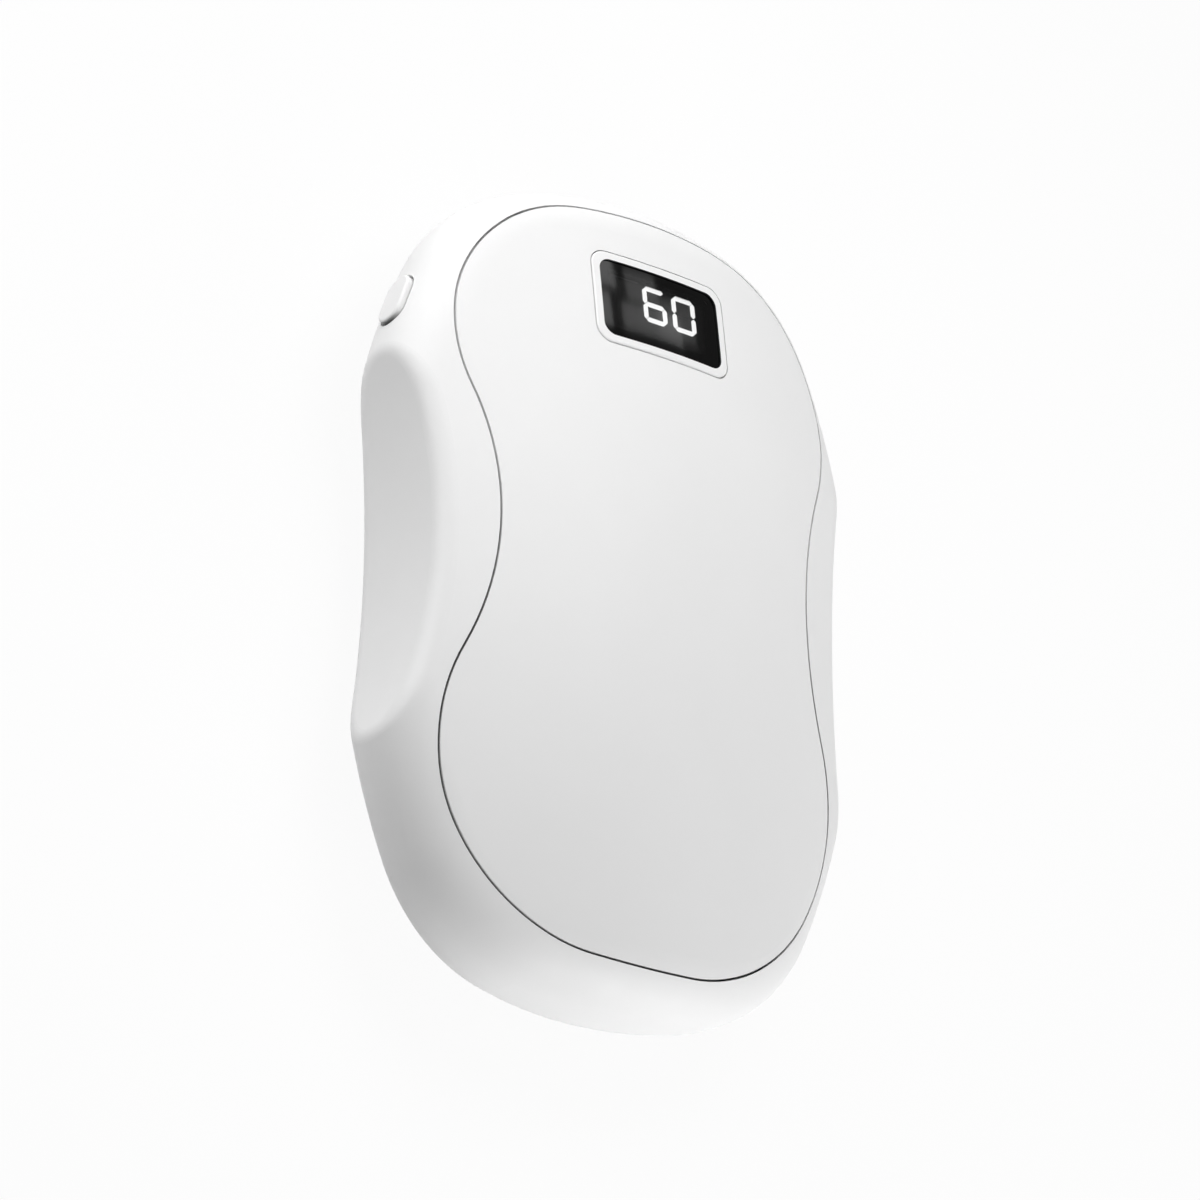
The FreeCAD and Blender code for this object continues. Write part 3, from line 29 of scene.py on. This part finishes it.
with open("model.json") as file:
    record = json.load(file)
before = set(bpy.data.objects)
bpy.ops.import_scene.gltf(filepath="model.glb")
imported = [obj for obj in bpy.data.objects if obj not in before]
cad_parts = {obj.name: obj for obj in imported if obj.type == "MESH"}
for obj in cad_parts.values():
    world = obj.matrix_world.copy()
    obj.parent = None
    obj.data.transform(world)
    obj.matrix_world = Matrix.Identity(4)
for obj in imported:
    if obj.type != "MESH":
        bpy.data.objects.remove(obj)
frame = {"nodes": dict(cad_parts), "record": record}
cad_low, cad_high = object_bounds()
nodes = frame["nodes"]
middle = Vector((0, 0, (cad_low.z + cad_high.z) / 2))
length = cad_high.y - cad_low.y
lens_low, lens_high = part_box("display_lens")
lens_middle = (lens_low + lens_high) / 2
button_low, button_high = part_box("power_button")
button_length = button_high.y - button_low.y


# Node trees

# Most of a noise texture's values lie between these two
NOISE_LOW = 0.3
NOISE_HIGH = 0.7
NOISE_DETAIL = 4.0
GRAIN_DETAIL = 2.0

# Sockets for colours on the mix node, by number because its other kinds use the same names
MIX_FIRST = 6
MIX_SECOND = 7
MIX_RESULT = 2


def add_node(tree, kind, **settings):
    node = tree.nodes.new(kind)
    for name, setting in settings.items():
        setattr(node, name, setting)
    return node


def new_material(name):
    material = bpy.data.materials.new(name)
    material.use_nodes = True
    tree = material.node_tree
    tree.nodes.clear()
    output = add_node(tree, "ShaderNodeOutputMaterial")
    return material, tree, output


def object_place(tree):
    return add_node(tree, "ShaderNodeTexCoord").outputs["Object"]


def noise(tree, place, scale, detail=NOISE_DETAIL):
    texture = add_node(tree, "ShaderNodeTexNoise")
    texture.inputs["Scale"].default_value = scale
    texture.inputs["Detail"].default_value = detail
    tree.links.new(place, texture.inputs["Vector"])
    return texture.outputs["Fac"]


def mapped(tree, value, start, end, low=0.0, high=1.0):
    spread = add_node(tree, "ShaderNodeMapRange")
    spread.inputs["From Min"].default_value = start
    spread.inputs["From Max"].default_value = end
    spread.inputs["To Min"].default_value = low
    spread.inputs["To Max"].default_value = high
    tree.links.new(value, spread.inputs["Value"])
    return spread.outputs["Result"]


def ramped(tree, factor, start, end, dark, light):
    ramp = add_node(tree, "ShaderNodeValToRGB")
    first, last = ramp.color_ramp.elements
    first.position = start
    first.color = (*dark, 1)
    last.position = end
    last.color = (*light, 1)
    tree.links.new(factor, ramp.inputs["Fac"])
    return ramp.outputs["Color"]


def calculated(tree, operation, first, second=None):
    math_node = add_node(tree, "ShaderNodeMath", operation=operation)
    tree.links.new(first, math_node.inputs[0])
    if second is not None:
        tree.links.new(second, math_node.inputs[1])
    return math_node.outputs["Value"]


def from_lens_middle(tree, place):
    steps = add_node(tree, "ShaderNodeVectorMath", operation="SUBTRACT")
    steps.inputs[1].default_value = lens_middle
    tree.links.new(place, steps.inputs[0])
    return steps.outputs["Vector"]


def split(tree, vector):
    parts = add_node(tree, "ShaderNodeSeparateXYZ")
    tree.links.new(vector, parts.inputs["Vector"])
    return parts.outputs


def grey(level):
    return (level, level, level)


# Finishes: each has a roughness and a fine grain that vary over the surface


def base_finish(name, gloss, gloss_scale, grain_scale, grain_depth, metal=0.0):
    material, tree, output = new_material(name)
    shader = add_node(tree, "ShaderNodeBsdfPrincipled")
    place = object_place(tree)
    roughness = mapped(tree, noise(tree, place, gloss_scale), NOISE_LOW, NOISE_HIGH, *gloss)
    tree.links.new(roughness, shader.inputs["Roughness"])
    shader.inputs["Metallic"].default_value = metal
    bump = add_node(tree, "ShaderNodeBump")
    bump.inputs["Strength"].default_value = 1.0
    bump.inputs["Distance"].default_value = grain_depth
    tree.links.new(noise(tree, place, grain_scale, GRAIN_DETAIL), bump.inputs["Height"])
    tree.links.new(bump.outputs["Normal"], shader.inputs["Normal"])
    tree.links.new(shader.outputs["BSDF"], output.inputs["Surface"])
    return material, tree, shader


def toned_finish(name, dark, light, tone_scale, **rest):
    material, tree, shader = base_finish(name, **rest)
    pattern = noise(tree, object_place(tree), tone_scale)
    tone = ramped(tree, pattern, NOISE_LOW, NOISE_HIGH, dark, light)
    tree.links.new(tone, shader.inputs["Base Color"])
    return material, tree, shader


# Satin white of the housing, the panels, the display ring and the button


def white_shell(name):
    return toned_finish(
        name, dark=grey(0.855), light=grey(0.87), tone_scale=60.0,
        gloss=(0.52, 0.6), gloss_scale=300.0, grain_scale=4200.0, grain_depth=1.5e-6)


# The white shell with painted shade in narrow gaps, from nothing at none_at to all of it at full_at
# along Y

GAP_SAMPLES = 8


def painted_shade_shell(name, reach, level, dark_below, clear_above, none_at, full_at):
    material, tree, shader = white_shell(name)
    gap = add_node(tree, "ShaderNodeAmbientOcclusion", samples=GAP_SAMPLES)
    gap.inputs["Distance"].default_value = reach
    shade = ramped(tree, gap.outputs["AO"], dark_below, clear_above, grey(level), grey(1.0))
    amount = mapped(tree, split(tree, object_place(tree))["Y"], none_at, full_at)
    mix = add_node(tree, "ShaderNodeMix", data_type="RGBA", blend_type="MULTIPLY")
    tree.links.new(amount, mix.inputs["Factor"])
    tree.links.new(shader.inputs["Base Color"].links[0].from_socket, mix.inputs[MIX_FIRST])
    tree.links.new(shade, mix.inputs[MIX_SECOND])
    tree.links.new(mix.outputs[MIX_RESULT], shader.inputs["Base Color"])
    return material


# Where the button's painted shade starts and is full, as shares of its length from its lower end
BUTTON_SHADE_START = 0.3
BUTTON_SHADE_FULL = 0.14

# Painted shade in the seams around the front and rear panels
PANEL_SHADE = {
    "reach": 0.6e-3,
    "level": 0.12,
    "dark_below": 0.35,
    "clear_above": 0.7,
    "none_at": 0.012,
    "full_at": -0.012,
}
# Painted shade in the gap at the button's lower end
BUTTON_SHADE = {
    "reach": 1.8e-3,
    "level": 0.01,
    "dark_below": 0.8,
    "clear_above": 0.96,
    "none_at": button_low.y + BUTTON_SHADE_START * button_length,
    "full_at": button_low.y + BUTTON_SHADE_FULL * button_length,
}

# The display ring: white outside, with black inner walls, whose normals point to the lens's middle

WALL_START = -2.2e-3
WALL_FULL = -3.2e-3
WALL_LEVEL = 0.01


def display_ring():
    material, tree, shader = white_shell("white_display_ring")
    coordinates = add_node(tree, "ShaderNodeTexCoord")
    level_steps = add_node(tree, "ShaderNodeVectorMath", operation="MULTIPLY")
    level_steps.inputs[1].default_value = (1, 1, 0)
    tree.links.new(from_lens_middle(tree, coordinates.outputs["Object"]), level_steps.inputs[0])
    outward = add_node(tree, "ShaderNodeVectorMath", operation="DOT_PRODUCT")
    tree.links.new(level_steps.outputs["Vector"], outward.inputs[0])
    tree.links.new(coordinates.outputs["Normal"], outward.inputs[1])
    wall = mapped(tree, outward.outputs["Value"], WALL_START, WALL_FULL)
    mix = add_node(tree, "ShaderNodeMix", data_type="RGBA")
    tree.links.new(wall, mix.inputs["Factor"])
    tree.links.new(shader.inputs["Base Color"].links[0].from_socket, mix.inputs[MIX_FIRST])
    mix.inputs[MIX_SECOND].default_value = (*grey(WALL_LEVEL), 1)
    tree.links.new(mix.outputs[MIX_RESULT], shader.inputs["Base Color"])
    return material


# The lens: smoked clear plastic in the middle, with a black printed border that has a soft edge

PRINT_HALF_WIDTH = 7.9e-3
PRINT_HALF_HEIGHT = 4.25e-3
PRINT_EDGE = 1.1e-3
SMOKE_TINT = 0.2
LENS_INDEX = 1.5


def smoked_window():
    material, tree, shader = base_finish(
        "smoked_window", gloss=(0.055, 0.075), gloss_scale=200.0, grain_scale=400.0, grain_depth=2e-7)
    parts = split(tree, from_lens_middle(tree, object_place(tree)))
    across = calculated(tree, "ABSOLUTE", parts["X"])
    along = calculated(tree, "ABSOLUTE", parts["Y"])
    inside_width = mapped(tree, across, PRINT_HALF_WIDTH, PRINT_HALF_WIDTH - PRINT_EDGE)
    inside_height = mapped(tree, along, PRINT_HALF_HEIGHT, PRINT_HALF_HEIGHT - PRINT_EDGE)
    clear = calculated(tree, "MULTIPLY", inside_width, inside_height)
    tint = ramped(tree, clear, 0.0, 1.0, grey(0.0), grey(SMOKE_TINT))
    tree.links.new(tint, shader.inputs["Base Color"])
    shader.inputs["IOR"].default_value = LENS_INDEX
    shader.inputs["Transmission Weight"].default_value = 1.0
    return material


# Bars of the number, bright enough to show white through the smoked lens

SEGMENT_GLOW = 5.0


def lit_segment():
    material, _, shader = toned_finish(
        "lit_segment", dark=grey(0.8), light=grey(0.85), tone_scale=500.0,
        gloss=(0.4, 0.5), gloss_scale=500.0, grain_scale=4000.0, grain_depth=1e-6)
    shader.inputs["Emission Color"].default_value = (1, 1, 1, 1)
    shader.inputs["Emission Strength"].default_value = SEGMENT_GLOW
    return material


# Small and inner pieces: a colour that varies by a tenth each way

TONE_SPREAD = 0.1


def plain(name, colour, gloss, grain_scale, grain_depth, metal):
    dark = tuple((1 - TONE_SPREAD) * part for part in colour)
    light = tuple(min(1.0, (1 + TONE_SPREAD) * part) for part in colour)
    return toned_finish(
        name, dark=dark, light=light, tone_scale=180.0, gloss=gloss, gloss_scale=600.0,
        grain_scale=grain_scale, grain_depth=grain_depth, metal=metal)[0]


# Colour, least and most roughness, grain scale, grain depth and metal of each slot
plain_slots = {
    "dark_segment": (grey(0.02), (0.4, 0.5), 4000.0, 1e-6, 0.0),
    "black_plastic": (grey(0.02), (0.45, 0.6), 3000.0, 2e-6, 0.0),
    "tray_plastic": (grey(0.22), (0.5, 0.6), 3000.0, 2e-6, 0.0),
    "cream_plastic": ((0.72, 0.66, 0.5), (0.4, 0.5), 3000.0, 2e-6, 0.0),
    "circuit_board": ((0.015, 0.12, 0.04), (0.25, 0.4), 900.0, 4e-6, 0.0),
    "heat_plate": (grey(0.75), (0.3, 0.4), 1500.0, 2e-6, 1.0),
    "heater_film": ((0.45, 0.2, 0.02), (0.2, 0.3), 900.0, 3e-6, 0.0),
    "foam": (grey(0.16), (0.9, 1.0), 1600.0, 6e-5, 0.0),
    "cell_foil": ((0.68, 0.69, 0.72), (0.25, 0.4), 300.0, 1.5e-5, 1.0),
    "steel": ((0.6, 0.6, 0.62), (0.25, 0.38), 2500.0, 1.5e-6, 1.0),
    "ferrite": (grey(0.07), (0.6, 0.75), 2500.0, 8e-6, 0.0),
    "red_wire": ((0.5, 0.02, 0.02), (0.35, 0.45), 1500.0, 3e-6, 0.0),
    "black_wire": (grey(0.02), (0.35, 0.45), 1500.0, 3e-6, 0.0),
    "white_wire": (grey(0.75), (0.35, 0.45), 1500.0, 3e-6, 0.0),
}
slot_finishes = {slot: plain(slot, *numbers) for slot, numbers in plain_slots.items()}
slot_finishes["white_shell"] = white_shell("white_shell")[0]
slot_finishes["smoked_window"] = smoked_window()
slot_finishes["lit_segment"] = lit_segment()

# Nodes whose finish differs from the rest of their slot
own_finishes = {
    "display_bezel": display_ring(),
    "front_cover": painted_shade_shell("white_front_cover", **PANEL_SHADE),
    "rear_cover": painted_shade_shell("white_rear_cover", **PANEL_SHADE),
    "power_button": painted_shade_shell("white_button", **BUTTON_SHADE),
}
for entry in frame["record"]["subparts"]:
    mesh = nodes[entry["node"]].data
    mesh.materials.clear()
    mesh.materials.append(own_finishes.get(entry["node"], slot_finishes[entry["material_slot"]]))


# Floor: pale, white where it is seen straight, in gloss or through the lens, with a soft shadow

FLOOR_LENGTHS = 20
FLOOR_TONE = 0.6
FLOOR_TONE_SEEN = 0.95
FLOOR_WHITE_SHARE = 0.93


def floor_material():
    material, tree, output = new_material("pale_floor")
    path = add_node(tree, "ShaderNodeLightPath")
    seen = path.outputs["Is Camera Ray"]
    for ray in ("Is Glossy Ray", "Is Transmission Ray"):
        seen = calculated(tree, "MAXIMUM", seen, path.outputs[ray])
    share = mapped(tree, seen, 0.0, 1.0, 0.0, FLOOR_WHITE_SHARE)
    tone = ramped(tree, seen, 0.0, 1.0, grey(FLOOR_TONE), grey(FLOOR_TONE_SEEN))
    pale = add_node(tree, "ShaderNodeBsdfDiffuse")
    tree.links.new(tone, pale.inputs["Color"])
    white = add_node(tree, "ShaderNodeEmission")
    white.inputs["Strength"].default_value = 1.0
    mix = add_node(tree, "ShaderNodeMixShader")
    tree.links.new(share, mix.inputs["Fac"])
    tree.links.new(pale.outputs["BSDF"], mix.inputs[1])
    tree.links.new(white.outputs["Emission"], mix.inputs[2])
    tree.links.new(mix.outputs["Shader"], output.inputs["Surface"])
    return material


floor_reach = FLOOR_LENGTHS * length
floor_corners = [(x * floor_reach, y * floor_reach, 0) for x, y in ((-1, -1), (1, -1), (1, 1), (-1, 1))]
floor_mesh = bpy.data.meshes.new("floor")
floor_mesh.from_pydata(floor_corners, [], [(0, 1, 2, 3)])
floor_mesh.materials.append(floor_material())
floor = bpy.data.objects.new("floor", floor_mesh)
bpy.context.scene.collection.objects.link(floor)


# Light: a dim even world, large soft lamps, and the panes that the lens mirrors

WORLD_STRENGTH = 0.12


def add_lamp(name, shape, place, axes, power):
    data = bpy.data.lights.new(name, "AREA")
    data.shape = shape
    data.energy = power
    lamp = bpy.data.objects.new(name, data)
    lamp.matrix_world = Matrix.Translation(place) @ Matrix(axes).transposed().to_4x4()
    bpy.context.scene.collection.objects.link(lamp)
    return data


# Axes of a lamp that shines opposite to back, with its width along across
def facing(back, across):
    back = back.normalized()
    upward = back.cross(across).normalized()
    return upward.cross(back), upward, back


def soft_lamp(name, towards, distance, size, power):
    direction = Vector(towards).normalized()
    axes = facing(direction, Vector((0, 0, 1)).cross(direction))
    data = add_lamp(name, "DISK", middle + direction * distance, axes, power)
    data.size = size


# A pane of a given glow: an area lamp's power is pi times its glow and its area
def window_pane(name, place, across, width, height, glow):
    place = Vector(place)
    axes = facing(place - lens_middle, Vector(across))
    data = add_lamp(name, "RECTANGLE", place, axes, glow * math.pi * width * height)
    data.size = width
    data.size_y = height


world = bpy.data.worlds.new("studio")
world.use_nodes = True
background = world.node_tree.nodes["Background"]
background.inputs["Color"].default_value = (1, 1, 1, 1)
background.inputs["Strength"].default_value = WORLD_STRENGTH
bpy.context.scene.world = world

# Direction from the part's middle, distance, diameter and power of each lamp
lamps = {
    "upper_end": ((-0.4, 0.9, 0.3), 0.5, 0.3, 1.0),
    "lower_right": ((0.45, -0.9, 0.2), 0.5, 0.3, 2.06),
    "near_front": ((-0.1, 0.4, 0.95), 0.2, 0.15, 0.225),
    "left_low": ((-0.93, 0.37, 0.05), 0.5, 0.3, 1.15),
    "right_low": ((0.9, 0.6, 0.12), 0.5, 0.3, 0.4),
}
for name, numbers in lamps.items():
    soft_lamp(name, *numbers)

# Place, direction of the width, width, height and glow of each pane
panes = {
    "pane_left_high": ((0.239, 0.430, 0.407), (0.90, -0.09, -0.43), 0.049, 0.029, 1.70),
    "pane_left_low": ((0.234, 0.404, 0.430), (0.90, -0.08, -0.42), 0.040, 0.025, 1.60),
    "pane_middle_high": ((0.306, 0.416, 0.375), (0.83, -0.11, -0.55), 0.063, 0.023, 0.85),
    "pane_middle_low": ((0.322, 0.394, 0.380), (0.81, -0.10, -0.57), 0.124, 0.020, 1.00),
    "pane_right": ((0.363, 0.395, 0.343), (0.76, -0.11, -0.65), 0.079, 0.025, 0.55),
}
for name, numbers in panes.items():
    window_pane(name, *numbers)


# Camera at the photograph's angle, aimed slightly off the middle as the photograph is framed

VIEW_TURN = math.radians(37.94)
VIEW_TILT = math.radians(21.74)
VIEW_ROLL = math.radians(-0.71)
VIEW_DISTANCE = 0.6746
VIEW_HEIGHT = 0.01375
AIM_RIGHT = -0.21e-3
AIM_UP = 1.14e-3
SENSOR_WIDTH = 36.0
FOCAL_LENGTH = 4.553 * SENSOR_WIDTH
CLIP_NEAR = 0.01
CLIP_FAR = 10.0

turn = Matrix.Rotation(VIEW_TURN, 3, "Y")
tilt = Matrix.Rotation(-VIEW_TILT, 3, "X")
roll = Matrix.Rotation(VIEW_ROLL, 3, "Z")
out_of_view = (roll @ tilt @ turn).transposed()
stand = Vector((0, 0, VIEW_HEIGHT))
camera_place = stand + out_of_view @ Vector((0, 0, VIEW_DISTANCE))
aim = stand + out_of_view @ Vector((AIM_RIGHT, AIM_UP, 0))
back = (camera_place - aim).normalized()
right = (out_of_view @ Vector((0, 1, 0))).cross(back).normalized()
up = back.cross(right)
camera_data = bpy.data.cameras.new("camera")
camera_data.sensor_width = SENSOR_WIDTH
camera_data.lens = FOCAL_LENGTH
camera_data.clip_start = CLIP_NEAR
camera_data.clip_end = CLIP_FAR
camera = bpy.data.objects.new("camera", camera_data)
camera.matrix_world = Matrix.Translation(camera_place) @ Matrix((right, up, back)).transposed().to_4x4()
bpy.context.scene.collection.objects.link(camera)
bpy.context.scene.camera = camera
bpy.context.scene.view_settings.view_transform = "Standard"
